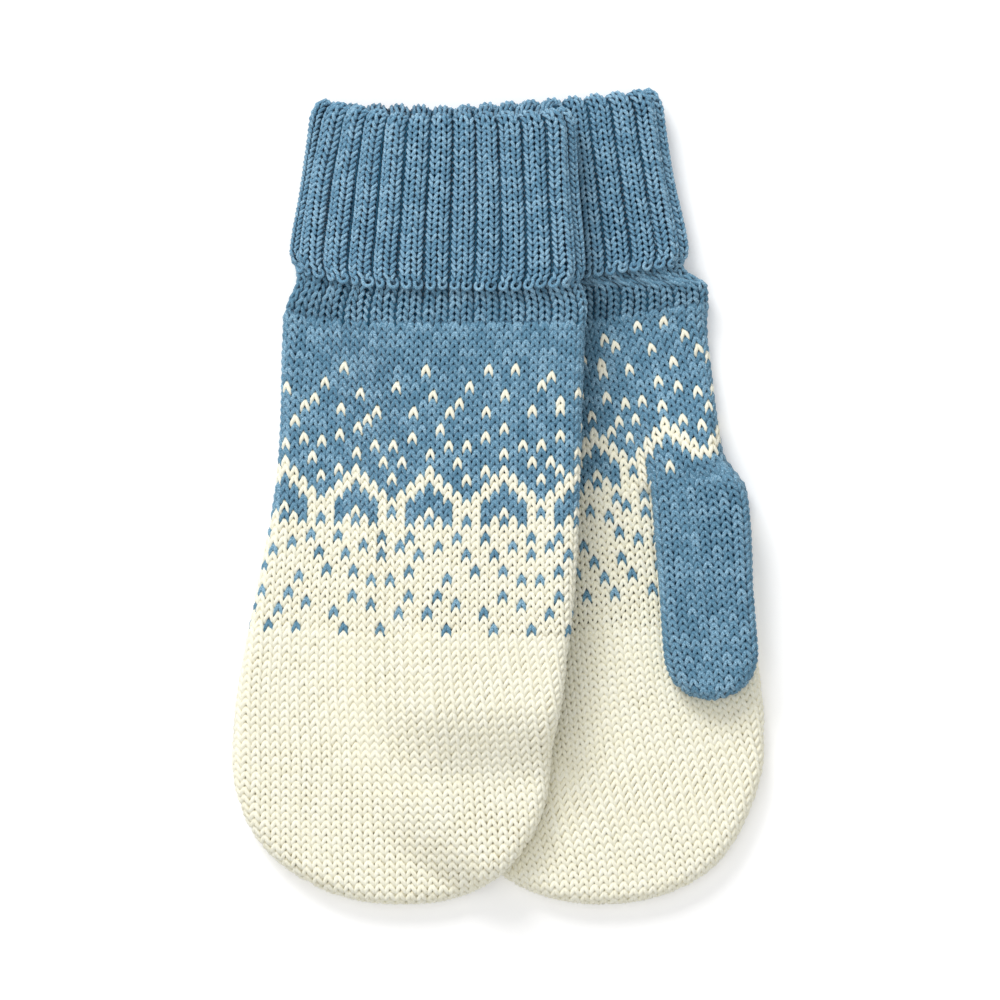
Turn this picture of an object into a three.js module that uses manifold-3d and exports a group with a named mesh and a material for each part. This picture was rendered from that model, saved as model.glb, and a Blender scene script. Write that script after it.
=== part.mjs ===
// A pair of knitted mittens laid flat: the left one palm up, the right one palm down on top of it.
// Millimetres, +Z up. The finger tips point to -Y and the cuffs to +Y. The floor is z = 0.
// Each mitten is a flattened knitted tube: a plain finger bag, a stranded hand, a ribbed wrist
// tube, a turned-up cuff around that tube, and a thumb that lies folded on the palm.

import * as THREE from "three";
import { mergeVertices } from "three/addons/utils/BufferGeometryUtils.js";
import Module from "manifold-3d";

const wasm = await Module();
wasm.setup();

// Thicknesses of the knitted layers and of the room they leave inside.
const GAP = 0.3;
const REST_GAP = 0.4;
const CAVITY = 5.4;
const HAND_WALL = 2.3;
const TUBE_WALL = 2.2;
const TURN_UP_WALL = 2.6;
const THUMB_WALL = 2;
const THUMB_CAVITY = 4.8;
const HAND_HALF = CAVITY / 2 + HAND_WALL;
const TUBE_HALF = CAVITY / 2 + TUBE_WALL;
const CUFF_HALF = TUBE_HALF + GAP + TURN_UP_WALL;
const THUMB_HALF = THUMB_CAVITY / 2 + THUMB_WALL;

// Lengths are measured from the finger tip towards the cuff.
const TIP_Y = -131.85;
const TIP_LENGTH = 48.8;
const TIP_ROUND = 8;
const PLAIN_LENGTH = 88;
const WRIST_START = 188.5;
const WRIST_END = 187;
const HAND_WIDTHS = [[TIP_LENGTH, 51.7], [66.6, 52.6], [99, 51.5], [140, 48.9], [WRIST_END, 48.7]];
const TURN_UP_WIDTH = { hem: 46.9, rim: 43.2 };
const LIP_LENGTH = 3;
const FOLD_LENGTH = 2.6;
const FOLD_BEVEL = 0.8;

// Each mitten leans: its centre line is a list of [length from the tip, sideways offset].
const LEFT = {
  tipX: 34.2,
  hem: 207,
  rim: 263.7,
  centre: [[0, 0], [50, 0.3], [100, -5.2], [140, -9.3], [WRIST_END, -15]],
  cuffCentre: { hem: -18.5, rim: -23.2 },
};
const RIGHT = {
  tipX: -31.5,
  hem: 202,
  rim: 258.7,
  centre: [[0, 0], [50, -3], [100, 4], [140, 8.6], [WRIST_END, 10.6]],
  cuffCentre: { hem: 11.4, rim: 13.1 },
};

// Thumbs: the middle of the root on the palm, the lean from the root to the tip, and the sizes.
const THUMB = { length: 76.7, halfWidth: 15.4, rootHalfWidth: 14.4, tipLength: 17, tipRound: 7 };
const THUMB_ROOT_Y = 10.85;
const LEFT_THUMB = { rootX: 63.4, lean: 7.2 };
const RIGHT_THUMB = { rootX: 4.3, lean: -6.5 };
// The slit's middle lies inward of the thumb's middle, towards the palm.
const THUMB_HOLE = { halfLength: 10, width: 7, offset: 1.5, inward: 6 };

// Lengths at which each section is drawn: from the finger tip, or along a thumb from its root.
const BAG_STATIONS = [0.6, 2, 4.4, TIP_ROUND, 13, 20, 29, 39, TIP_LENGTH, 61, 74, PLAIN_LENGTH];
const FLAT_HAND_STATIONS = [PLAIN_LENGTH + GAP, 110, 135, 160, WRIST_START];
const DRAPED_HAND_STATIONS = [PLAIN_LENGTH + GAP, 105, 125, 145, 167, WRIST_END, WRIST_START];
const WRIST_MIDDLE = 195;
const THUMB_STATIONS = [GAP, 30, THUMB.length - THUMB.tipLength, 66, 70, 73, 75.2, 76.3];

// The right mitten drapes from the top of the left one down to the floor over this slope.
const SLOPE_WIDTH = 30;
const SLOPE_OVERHANG = 0.5;
const CUFF_SLOPE_TOP = { hem: -31.6, slant: 0.03 };
const CUFF_SLOPE_START = 167;
const THUMB_STEP = { length: 27, margin: 1 };
const SLOPE_MIN_SPACING = 0.6;
const ARC_STEPS = 4;
const FLAT_MINIMUM = 0.02;

const lerp = (from, to, t) => from + (to - from) * t;
const clamp = (value, low, high) => Math.min(Math.max(value, low), high);
const ramp = (from, to, value) => clamp((value - from) / (to - from), 0, 1);

// A smooth curve through [position, value] stations, flat before the first and after the last.
function through(stations, position, endSlope = 0) {
  const last = stations.length - 1;
  const slope = (i) => {
    if (i === 0) return 0;
    if (i === last) return endSlope;
    return (stations[i + 1][1] - stations[i - 1][1]) / (stations[i + 1][0] - stations[i - 1][0]);
  };
  const at = clamp(position, stations[0][0], stations[last][0]);
  let i = 0;
  while (i < last - 1 && at > stations[i + 1][0]) i += 1;
  const [start, startValue] = stations[i];
  const [end, endValue] = stations[i + 1];
  const span = end - start;
  const t = (at - start) / span;
  const rise = t * t * (3 - 2 * t);
  const leave = t * (1 - t) * (1 - t) * span * slope(i);
  const arrive = t * t * (1 - t) * span * slope(i + 1);
  return startValue + (endValue - startValue) * rise + leave - arrive;
}

function centreX(mitten, length) {
  const { hem, rim, cuffCentre } = mitten;
  const cuffSlope = (cuffCentre.rim - cuffCentre.hem) / (rim - hem);
  if (length >= hem) return mitten.tipX + cuffCentre.hem + cuffSlope * (length - hem);
  return mitten.tipX + through([...mitten.centre, [hem, cuffCentre.hem]], length, cuffSlope);
}

function turnUpWidth(mitten, length) {
  return lerp(TURN_UP_WIDTH.hem, TURN_UP_WIDTH.rim, (length - mitten.hem) / (mitten.rim - mitten.hem));
}

const tubeInset = TURN_UP_WALL + GAP;

// Half the width of the hand or of the wrist tube, inset by a wall thickness.
function bodyWidth(mitten, length, inset) {
  if (length >= mitten.hem) return turnUpWidth(mitten, length) - tubeInset - inset;
  const widths = [...HAND_WIDTHS, [mitten.hem, turnUpWidth(mitten, mitten.hem) - tubeInset]];
  const full = through(widths, length) - inset;
  if (length >= TIP_LENGTH) return full;
  const reach = clamp((TIP_LENGTH - length) / (TIP_LENGTH - inset), 0, 1);
  return full * Math.sqrt(1 - reach * reach);
}

function bodyThickness(half, length, inset) {
  const reach = clamp((TIP_ROUND - length) / (TIP_ROUND - inset), 0, 1);
  return (half - inset) * Math.sqrt(1 - reach * reach);
}

// Heights of the middle of each mitten above the floor.
const leftTop = 2 * HAND_HALF;
const thumbLift = 2 * THUMB_HALF + REST_GAP;
const rightOverHand = leftTop + REST_GAP + HAND_HALF;
const rightOverThumb = rightOverHand + thumbLift;
const rightOverCuff = 2 * CUFF_HALF + REST_GAP + CUFF_HALF;
const thumbTipLength = THUMB_ROOT_Y - THUMB.length - TIP_Y;

function leftMid(x, y) {
  return lerp(HAND_HALF, CUFF_HALF, ramp(WRIST_END, LEFT.hem, y - TIP_Y));
}

// Where the slope of the right mitten starts to fall away, to the left of the left mitten's edge.
function slopeTop(y) {
  const length = y - TIP_Y;
  const overHand = centreX(LEFT, length) - bodyWidth(LEFT, length, 0) + SLOPE_OVERHANG;
  const overCuff = CUFF_SLOPE_TOP.hem + CUFF_SLOPE_TOP.slant * (length - RIGHT.hem);
  return lerp(overHand, overCuff, ramp(CUFF_SLOPE_START, RIGHT.hem, length));
}

function rightMid(x, y) {
  const length = y - TIP_Y;
  const toCuff = ramp(WRIST_END, RIGHT.hem, length);
  const low = lerp(HAND_HALF, CUFF_HALF, toCuff);
  const stepEnd = thumbTipLength - THUMB_STEP.margin;
  const overThumb = ramp(thumbTipLength - THUMB_STEP.length, stepEnd, length);
  const high = lerp(lerp(rightOverHand, rightOverThumb, overThumb), rightOverCuff, toCuff);
  const top = slopeTop(y);
  return lerp(low, high, ramp(top - SLOPE_WIDTH, top, x));
}

// The x places where a flat side of the tube is sampled: its two ends and, under a draped
// mitten, the foot, middle and top of the slope.
function flatPlaces(left, right, y, draped) {
  if (!draped) return [left, right];
  const top = slopeTop(y);
  const foot = top - SLOPE_WIDTH;
  const inner = [(left + foot) / 2, foot, (foot + top) / 2, top, (top + right) / 2];
  const spacing = Math.min(SLOPE_MIN_SPACING, (right - left) / (inner.length + 2));
  const placed = [left];
  inner.forEach((place, i) => {
    const low = placed[i] + spacing;
    const high = right - spacing * (inner.length - i);
    placed.push(clamp(place, low, high));
  });
  return [...placed, right];
}

// One closed loop around a flattened tube: two flat sides joined by half rounds.
function loop(centre, y, halfWidth, halfThickness, mid, draped) {
  const round = Math.min(halfWidth, halfThickness);
  const flat = Math.max(halfWidth - halfThickness, FLAT_MINIMUM);
  const places = flatPlaces(centre - flat, centre + flat, y, draped);
  const points = [];
  const add = (x, z) => points.push(new THREE.Vector3(x, y, mid(x, y) + z));
  const arc = (x, side) => {
    for (let i = 1; i < ARC_STEPS; i += 1) {
      const angle = (Math.PI * i) / ARC_STEPS;
      add(x + side * round * Math.sin(angle), -side * halfThickness * Math.cos(angle));
    }
  };
  places.forEach((x) => add(x, -halfThickness));
  arc(centre + flat, 1);
  [...places].reverse().forEach((x) => add(x, halfThickness));
  arc(centre - flat, -1);
  return points;
}

// A closed solid through a row of loops. With poles it ends in a point at both ends, and
// without them the last loop joins the first one, as a tube's wall does.
function solid(loops, poles) {
  const points = loops.flat();
  const count = loops[0].length;
  const triangles = [];
  const rows = poles ? loops.length - 1 : loops.length;
  for (let row = 0; row < rows; row += 1) {
    const next = (row + 1) % loops.length;
    for (let i = 0; i < count; i += 1) {
      const j = (i + 1) % count;
      const [a, b] = [row * count + i, row * count + j];
      const [c, d] = [next * count + i, next * count + j];
      triangles.push([a, b, d], [a, d, c]);
    }
  }
  if (poles) {
    const first = points.push(poles[0]) - 1;
    const last = points.push(poles[1]) - 1;
    const lastRow = (loops.length - 1) * count;
    for (let i = 0; i < count; i += 1) {
      const j = (i + 1) % count;
      triangles.push([first, j, i], [last, lastRow + i, lastRow + j]);
    }
  }
  const volume = triangles.reduce((sum, [a, b, c]) => {
    const cross = new THREE.Vector3().crossVectors(points[b], points[c]);
    return sum + points[a].dot(cross);
  }, 0);
  const ordered = volume > 0 ? triangles : triangles.map(([a, b, c]) => [a, c, b]);
  const geometry = new THREE.BufferGeometry();
  const position = ordered.flat().flatMap((i) => points[i].toArray());
  geometry.setAttribute("position", new THREE.Float32BufferAttribute(position, 3));
  return mergeVertices(geometry, 1e-4);
}

// A wall between an outer and an inner profile: rows of [length from the tip, inset].
function wall(mitten, mid, draped, half, widthAt, profile) {
  return profile.map(([length, inset]) => {
    const thickness = bodyThickness(half, length, inset);
    const width = widthAt(mitten, length, inset);
    return loop(centreX(mitten, length), length + TIP_Y, width, thickness, mid, draped);
  });
}

function tube(mitten, mid, draped, half, wallThickness, stations) {
  const outer = stations.map((length) => [length, 0]);
  const inner = [...stations].reverse().map((length) => [length, wallThickness]);
  return solid(wall(mitten, mid, draped, half, bodyWidth, [...outer, ...inner]), null);
}

function fingerBag(mitten, mid, draped) {
  const outer = BAG_STATIONS.map((length) => [length, 0]);
  const inset = (length) => HAND_WALL + (length * (PLAIN_LENGTH - HAND_WALL)) / PLAIN_LENGTH;
  const inner = [...BAG_STATIONS].reverse().map((length) => [inset(length), HAND_WALL]);
  const loops = wall(mitten, mid, draped, HAND_HALF, bodyWidth, [...outer, ...inner]);
  const pole = (length) => {
    const x = centreX(mitten, length);
    return new THREE.Vector3(x, length + TIP_Y, mid(x, length + TIP_Y));
  };
  return solid(loops, [pole(0), pole(HAND_WALL)]);
}

// The cuff sleeve, with the fold at its rim curling in over the end of the wrist tube.
function turnUp(mitten, mid, draped) {
  const { hem, rim } = mitten;
  const depth = CUFF_HALF - CAVITY / 2;
  const profile = [
    [hem, 0],
    [rim - FOLD_LENGTH, 0],
    [rim - FOLD_BEVEL, FOLD_BEVEL],
    [rim, depth / 2],
    [rim - FOLD_BEVEL, depth - FOLD_BEVEL],
    [rim - LIP_LENGTH, depth],
    [rim - LIP_LENGTH, TURN_UP_WALL],
    [hem, TURN_UP_WALL],
  ];
  const widthAt = (owner, length, inset) => turnUpWidth(owner, length) - inset;
  return solid(wall(mitten, mid, draped, CUFF_HALF, widthAt, profile), null);
}

// A thumb built along -Y from its open root, lying on z = 0 of its own frame.
function thumb() {
  const { length, halfWidth, rootHalfWidth, tipLength, tipRound } = THUMB;
  const roundOff = (reach, inset, size) => {
    const t = clamp((size - reach) / (size - inset), 0, 1);
    return Math.sqrt(1 - t * t);
  };
  const level = () => THUMB_HALF;
  const ring = (along, inset) => {
    const reach = length - along;
    const full = lerp(rootHalfWidth, halfWidth, ramp(0, length - tipLength, along));
    const width = (full - inset) * roundOff(reach, inset, tipLength);
    const thickness = (THUMB_HALF - inset) * roundOff(reach, inset, tipRound);
    return loop(0, -along, width, thickness, level, false);
  };
  const outer = THUMB_STATIONS.map((along) => ring(along, 0));
  const scale = (length - THUMB_WALL) / length;
  const inner = THUMB_STATIONS.map((along) => {
    return ring(along === GAP ? GAP : along * scale, THUMB_WALL);
  });
  const loops = [...[...outer].reverse(), ...inner];
  const pole = (inset) => new THREE.Vector3(0, inset - length, THUMB_HALF);
  return solid(loops, [pole(0), pole(THUMB_WALL)]);
}

function toManifold(geometry) {
  const mesh = new wasm.Mesh({
    numProp: 3,
    vertProperties: new Float32Array(geometry.attributes.position.array),
    triVerts: new Uint32Array(geometry.index.array),
  });
  return new wasm.Manifold(mesh);
}

function fromManifold(body) {
  const mesh = body.getMesh();
  const geometry = new THREE.BufferGeometry();
  geometry.setAttribute("position", new THREE.Float32BufferAttribute(mesh.vertProperties, 3));
  geometry.setIndex([...mesh.triVerts]);
  return geometry;
}

// Where a thumb sits: its root on the palm and its turn about Z.
function thumbPlace(mitten) {
  const { rootX, lean } = mitten === LEFT ? LEFT_THUMB : RIGHT_THUMB;
  return { x: rootX, y: THUMB_ROOT_Y, turn: Math.asin(lean / THUMB.length) };
}

// The slit in the palm that the thumb opens from, as a rounded slot that cuts only that wall.
function cutThumbHole(geometry, mitten, bottom) {
  const { halfLength, width, offset, inward } = THUMB_HOLE;
  const outline = new THREE.Shape();
  outline.absarc(halfLength - width / 2, 0, width / 2, -Math.PI / 2, Math.PI / 2, false);
  outline.absarc(width / 2 - halfLength, 0, width / 2, Math.PI / 2, (3 * Math.PI) / 2, false);
  const depth = HAND_WALL + 2 * GAP;
  const cutter = new THREE.ExtrudeGeometry(outline, { depth, bevelEnabled: false, curveSegments: 6 });
  cutter.deleteAttribute("normal");
  cutter.deleteAttribute("uv");
  const place = thumbPlace(mitten);
  cutter.translate(-inward, offset + width / 2, 0);
  cutter.rotateZ(place.turn);
  cutter.translate(place.x, place.y, bottom);
  return fromManifold(toManifold(geometry).subtract(toManifold(mergeVertices(cutter, 1e-4))));
}

const YARN = { blue: 0x648aa1, cream: 0xf0edd5 };

function knitted(name, geometry, colour) {
  const material = new THREE.MeshStandardMaterial({ color: colour, roughness: 0.95, metalness: 0 });
  const mesh = new THREE.Mesh(geometry, material);
  mesh.name = name;
  return mesh;
}

// The sections that make one mitten, apart from its thumb.
function mittenSections(side, mitten, mid, draped, holeBottom) {
  const wristEnd = mitten.rim - LIP_LENGTH - GAP;
  const wristStations = [WRIST_START + GAP, WRIST_MIDDLE, mitten.hem, wristEnd];
  const handStations = draped ? DRAPED_HAND_STATIONS : FLAT_HAND_STATIONS;
  const hand = tube(mitten, mid, draped, HAND_HALF, HAND_WALL, handStations);
  const wrist = tube(mitten, mid, draped, TUBE_HALF, TUBE_WALL, wristStations);
  return [
    knitted(`${side}_finger_bag`, fingerBag(mitten, mid, draped), YARN.cream),
    knitted(`${side}_stranded_hand`, cutThumbHole(hand, mitten, holeBottom), YARN.blue),
    knitted(`${side}_wrist_rib`, wrist, YARN.blue),
    knitted(`${side}_turn_up`, turnUp(mitten, mid, draped), YARN.blue),
  ];
}

// A thumb in its place: it lies on the palm of the left mitten, at the same height for both.
function placedThumb(side, mitten) {
  const place = thumbPlace(mitten);
  const mesh = knitted(`${side}_thumb`, thumb(), YARN.blue);
  mesh.position.set(place.x, place.y, leftTop + REST_GAP);
  mesh.rotation.z = place.turn;
  return mesh;
}

const leftMitten = new THREE.Group();
leftMitten.add(...mittenSections("left", LEFT, leftMid, false, leftTop - HAND_WALL - GAP));
leftMitten.add(placedThumb("left", LEFT));

const rightMitten = new THREE.Group();
const rightPalm = rightOverThumb - HAND_HALF;
rightMitten.add(...mittenSections("right", RIGHT, rightMid, true, rightPalm - GAP));
rightMitten.add(placedThumb("right", RIGHT));

const mittens = new THREE.Group();
mittens.add(leftMitten, rightMitten);

export default mittens;
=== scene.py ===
"""A pair of knitted mittens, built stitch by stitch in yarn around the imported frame."""
import math
from types import SimpleNamespace

import bpy
import numpy as np
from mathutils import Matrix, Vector


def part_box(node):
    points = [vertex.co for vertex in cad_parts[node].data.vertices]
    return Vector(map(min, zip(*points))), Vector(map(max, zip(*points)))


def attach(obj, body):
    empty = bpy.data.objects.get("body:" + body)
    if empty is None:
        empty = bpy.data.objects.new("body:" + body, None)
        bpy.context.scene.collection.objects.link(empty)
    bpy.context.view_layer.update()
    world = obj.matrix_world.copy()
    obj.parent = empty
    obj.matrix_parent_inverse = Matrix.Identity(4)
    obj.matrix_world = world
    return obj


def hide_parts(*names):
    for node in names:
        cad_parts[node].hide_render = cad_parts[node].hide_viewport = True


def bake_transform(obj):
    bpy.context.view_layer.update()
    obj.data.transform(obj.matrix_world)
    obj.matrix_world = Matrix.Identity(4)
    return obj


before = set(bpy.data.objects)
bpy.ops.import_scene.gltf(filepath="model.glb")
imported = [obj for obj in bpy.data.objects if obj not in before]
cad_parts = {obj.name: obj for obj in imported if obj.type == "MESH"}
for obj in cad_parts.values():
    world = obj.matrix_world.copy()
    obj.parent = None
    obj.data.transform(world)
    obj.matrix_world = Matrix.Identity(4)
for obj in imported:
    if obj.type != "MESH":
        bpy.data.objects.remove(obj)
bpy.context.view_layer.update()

# Lengths are in millimetres in the row's frame, and a mitten's own length runs from its finger
# tip towards its cuff. A face is one side of a flattened knitted tube. Across a face, places go
# from -1 at its left edge to 1 at its right edge.
MM = 0.001
HALF_PI = math.pi / 2


def corners(node):
    """Lowest and highest corner of a CAD node, in millimetres."""
    low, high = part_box(node)
    return np.array(low) / MM, np.array(high) / MM


TIP_Y = corners("left_finger_bag")[0][1]
HAND_THICKNESS = corners("left_finger_bag")[1][2]
CUFF_THICKNESS = corners("left_turn_up")[1][2]
THUMB_LOW = corners("left_thumb")[0][2]
THUMB_TOP = corners("left_thumb")[1][2]
PLAIN_LENGTH = corners("left_finger_bag")[1][1] - TIP_Y
WRIST_START = corners("left_stranded_hand")[1][1] - TIP_Y

# Walls of the knitted layers, and the middle of each wall above the middle of its tube.
HAND_WALL = 2.3
TUBE_WALL = 2.2
TURN_UP_WALL = 2.6
THUMB_WALL = 2.0
HAND_HALF = (HAND_THICKNESS - HAND_WALL) / 2
TUBE_HALF = 3.8
CUFF_HALF = (CUFF_THICKNESS - TURN_UP_WALL) / 2
THUMB_HALF = (THUMB_TOP - THUMB_LOW - THUMB_WALL) / 2
REST_GAP = THUMB_LOW - HAND_THICKNESS

# A number that keeps divisions away from zero.
TINY = 1e-9

# The outline, as half widths at lengths from the finger tip, and for the cuff from its hem. The
# extras are how far the yarn's middle lies past the outline's own tip and sides.
TIP_LENGTH = 48.8
TIP_EXTRA = 1.7
SIDE_EXTRA = 0.7
WRIST_END = 187.0
HAND_WIDTHS = [(TIP_LENGTH, 51.7), (66.6, 52.6), (99.0, 51.5), (140.0, 48.9), (WRIST_END, 48.9)]
CUFF_WIDTHS = [(0, 47.7), (10, 47.2), (28, 45.0), (48, 43.2), (58, 43.0)]
CUFF_LENGTH = 56.7
TUBE_INSET = 2.9
TUBE_START = 3.0
LIP_LENGTH = 3.0

# Half widths left and right are at lengths from the thumb's root, and tip is its round end.
THUMB = SimpleNamespace(
    length=77.6,
    root_y=10.85,
    left=[(0, 14.4), (59.7, 15.4)],
    right=[(0, 9.5), (4, 13.0), (12, 16.4), (20, 17.0), (30, 16.7), (42, 15.9), (59.7, 15.4)],
    tip=17.0,
)


def make_mitten(side, hem_drop, thumb, **shape):
    """What sets one mitten apart from the other one, with its hem and rim as lengths."""
    low, high = corners(f"{side}_turn_up")
    return SimpleNamespace(
        side=side,
        hem=low[1] - TIP_Y - hem_drop,
        rim=high[1] - TIP_Y,
        thumb_x=thumb[0],
        thumb_turn=math.asin(thumb[1] / THUMB.length),
        **shape,
    )


# centre is the centre line's offset from tip_x at lengths from the tip, and cuff_centre at the hem
# and the rim. pinch is how far before the hem the wrist starts to narrow, and half its width there.
# rows are how the rows of knitting lie, as length, slope to the right, and bend left and right of
# the centre line. columns are the x of the hand's middle column and the width of a column. rims
# are the tops of the two faces' folds, and corner_shift slides the folds apart at the left corner.
# row_shift moves the hand's rows along. peak_row is the row of the chart's peaks, counted from the
# plain fingers. chart_middle is the chart's column there, and chart_turn the way the chart runs.
LEFT = make_mitten(
    "left",
    hem_drop=4.0,
    thumb=(63.4, 7.2),
    tip_x=34.2,
    centre=[
        (0, 0),
        (26, -1.2),
        (50, 0.3),
        (100, -5.2),
        (140, -9.3),
        (WRIST_END, -15.6),
        (200.5, -16.3),
    ],
    cuff_centre=(-19.6, -23.9),
    pinch=(1.8, 49.3),
    rows=[
        (0, 0.10, 0, 0),
        (40, 0.15, 0, 0),
        (60, 0.15, 0, 0),
        (80, 0.115, 0, 0),
        (110, 0.105, 0, 0),
        (150, 0.159, 0, 0),
        (WRIST_END, 0.15, 0, 0),
        (205, 0.115, 0, 0),
        (263, 0.084, 0, 0),
    ],
    columns=[
        (0, 73.1, 3.2),
        (39, 66.9, 3.2),
        (65, 62.9, 3.15),
        (91, 60.4, 3.12),
        (130, 57.0, 3.0),
        (152, 54.75, 2.94),
        (170, 52.0, 2.94),
        (191, 47.9, 2.94),
    ],
    rims={1: -3.9, -1: -4.3},
    corner_shift=0.0,
    row_shift=-0.8,
    peak_row=23,
    chart_middle=8,
    chart_turn=-1,
)
RIGHT = make_mitten(
    "right",
    hem_drop=2.0,
    thumb=(4.3, -6.5),
    tip_x=-31.5,
    centre=[
        (0, 0.2),
        (8, -1.0),
        (17, -2.6),
        (32, -3.1),
        (50, -3.1),
        (100, 4),
        (140, 8.6),
        (WRIST_END, 10.6),
    ],
    cuff_centre=(11.2, 13.1),
    pinch=(5.5, 48.4),
    rows=[
        (0, 0, 0, 0),
        (25, 0, 0.0003, 0.0008),
        (50, 0, 0.0005, 0.0014),
        (70, 0, 0.0006, 0.0006),
        (95, 0, 0.0008, 0),
        (120, 0, 0.0009, 0),
        (145, 0, 0.0015, 0.0003),
        (WRIST_END, 0, 0.0018, 0.0004),
        (200, 0, 0.0031, 0.0007),
        (258, 0, 0.0012, 0.0012),
    ],
    columns=[
        (4, -18.2, 3.4),
        (30, -19.2, 3.35),
        (43, -20.0, 3.28),
        (56, -21.1, 3.23),
        (69, -22.1, 3.17),
        (82, -22.8, 3.09),
        (95, -23.0, 3.05),
        (121, -22.3, 3.0),
        (140.5, -22.1, 2.99),
        (160, -21.5, 2.97),
        (188, -20.0, 2.93),
    ],
    rims={1: -4.2, -1: -1.0},
    corner_shift=0.05,
    row_shift=-0.95,
    peak_row=19,
    chart_middle=0,
    chart_turn=1,
)


def mix(low, high, share):
    return low + (high - low) * share


def ramp(low, high, value):
    """0 up to low, 1 from high on, and a smooth rise between them."""
    share = np.clip((value - low) / (high - low), 0, 1)
    return share * share * (3 - 2 * share)


def through(stations, position, column=1, end_slope=0.0):
    """A smooth curve through stations of (position, value, ...), flat before the first one."""
    table = np.array(stations, float)
    places = table[:, 0]
    values = table[:, column]
    slopes = np.zeros(len(places))
    slopes[1:-1] = (values[2:] - values[:-2]) / (places[2:] - places[:-2])
    slopes[-1] = end_slope
    at = np.clip(position, places[0], places[-1])
    i = np.clip(np.searchsorted(places, at, side="right") - 1, 0, len(places) - 2)
    span = places[i + 1] - places[i]
    share = (at - places[i]) / span
    leave = share * (1 - share) ** 2 * span * slopes[i]
    arrive = share**2 * (1 - share) * span * slopes[i + 1]
    return values[i] + (values[i + 1] - values[i]) * share**2 * (3 - 2 * share) + leave - arrive


def centre_x(mitten, length):
    """The x of a mitten's centre line."""
    low, high = mitten.cuff_centre
    slope = (high - low) / CUFF_LENGTH
    hand = through([*mitten.centre, (mitten.hem, low)], length, end_slope=slope)
    return mitten.tip_x + np.where(length < mitten.hem, hand, low + slope * (length - mitten.hem))


def turn_up_width(mitten, length):
    return through(CUFF_WIDTHS, length - mitten.hem)


def body_width(mitten, length):
    """Half the width of the hand or the wrist tube, with the round of the tip left out."""
    tube_start = mitten.hem + TUBE_START
    tube = turn_up_width(mitten, np.maximum(length, tube_start)) - TUBE_INSET
    before, width = mitten.pinch
    pinch = (mitten.hem - before, width)
    end = (tube_start, turn_up_width(mitten, tube_start) - TUBE_INSET)
    hand = through([*HAND_WIDTHS, pinch, end], np.maximum(length, TIP_LENGTH))
    return np.where(length < tube_start, hand, tube)


# Heights of the middle of each mitten above the floor. The right one drapes over the left one.
SLOPE_WIDTH = 30.0
SLOPE_OVERHANG = 0.5
CUFF_SLOPE_TOP = SimpleNamespace(hem=-31.6, slant=0.03, start=167.0)
THUMB_STEP = 27.0
OVER_HAND = HAND_THICKNESS * 1.5 + REST_GAP
OVER_THUMB = OVER_HAND + THUMB_TOP - THUMB_LOW + REST_GAP
OVER_CUFF = CUFF_THICKNESS * 1.5 + REST_GAP
THUMB_TIP_LENGTH = THUMB.root_y - THUMB.length - TIP_Y


def left_mid(y):
    return mix(HAND_THICKNESS, CUFF_THICKNESS, ramp(WRIST_END, LEFT.hem, y - TIP_Y)) / 2


def slope_top(y):
    """The x where the right mitten reaches its full height over the left one."""
    length = y - TIP_Y
    over_hand = centre_x(LEFT, length) - body_width(LEFT, np.maximum(length, TIP_LENGTH))
    tip = np.clip((TIP_LENGTH - length) / TIP_LENGTH, 0, 1)
    rounding = body_width(LEFT, TIP_LENGTH) * (1 - np.sqrt(1 - tip**2))
    over_hand = over_hand + rounding + SLOPE_OVERHANG
    over_cuff = CUFF_SLOPE_TOP.hem + CUFF_SLOPE_TOP.slant * (length - RIGHT.hem)
    return mix(over_hand, over_cuff, ramp(CUFF_SLOPE_TOP.start, RIGHT.hem, length))


def right_mid(x, y):
    length = y - TIP_Y
    to_cuff = ramp(WRIST_END, RIGHT.hem, length)
    low = mix(HAND_THICKNESS, CUFF_THICKNESS, to_cuff) / 2
    over_thumb = ramp(THUMB_TIP_LENGTH - THUMB_STEP, THUMB_TIP_LENGTH, length)
    high = mix(mix(OVER_HAND, OVER_THUMB, over_thumb), OVER_CUFF, to_cuff)
    top = slope_top(y)
    return mix(low, high, ramp(top - SLOPE_WIDTH, top, x))


# The round of a tip: 2 is an ellipse, and more is fuller.
ROUND = 2.18


def edge_of(q, to_tip, half, half_width, tip_length, wall):
    """How far a point of a flat face lies inside its edge, over the knitting, and the way out.

    q is its offset from the centre line. The way out is a share sideways and a share to the tip.
    """
    spread = (HALF_PI - 1) * half
    reach = half_width + spread
    tip_reach = tip_length - wall / 2 + spread
    across = q / reach
    along = np.maximum(tip_length - to_tip, 0) / tip_reach
    level = np.maximum(np.abs(across) ** ROUND + along**ROUND, TINY) ** (1 / ROUND)
    slope_q = np.sign(across) * (np.abs(across) / level) ** (ROUND - 1) / reach
    slope_tip = (along / level) ** (ROUND - 1) / tip_reach
    steep = np.maximum(np.hypot(slope_q, slope_tip), TINY)
    return (1 - level) / steep, slope_q / steep, slope_tip / steep


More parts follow.
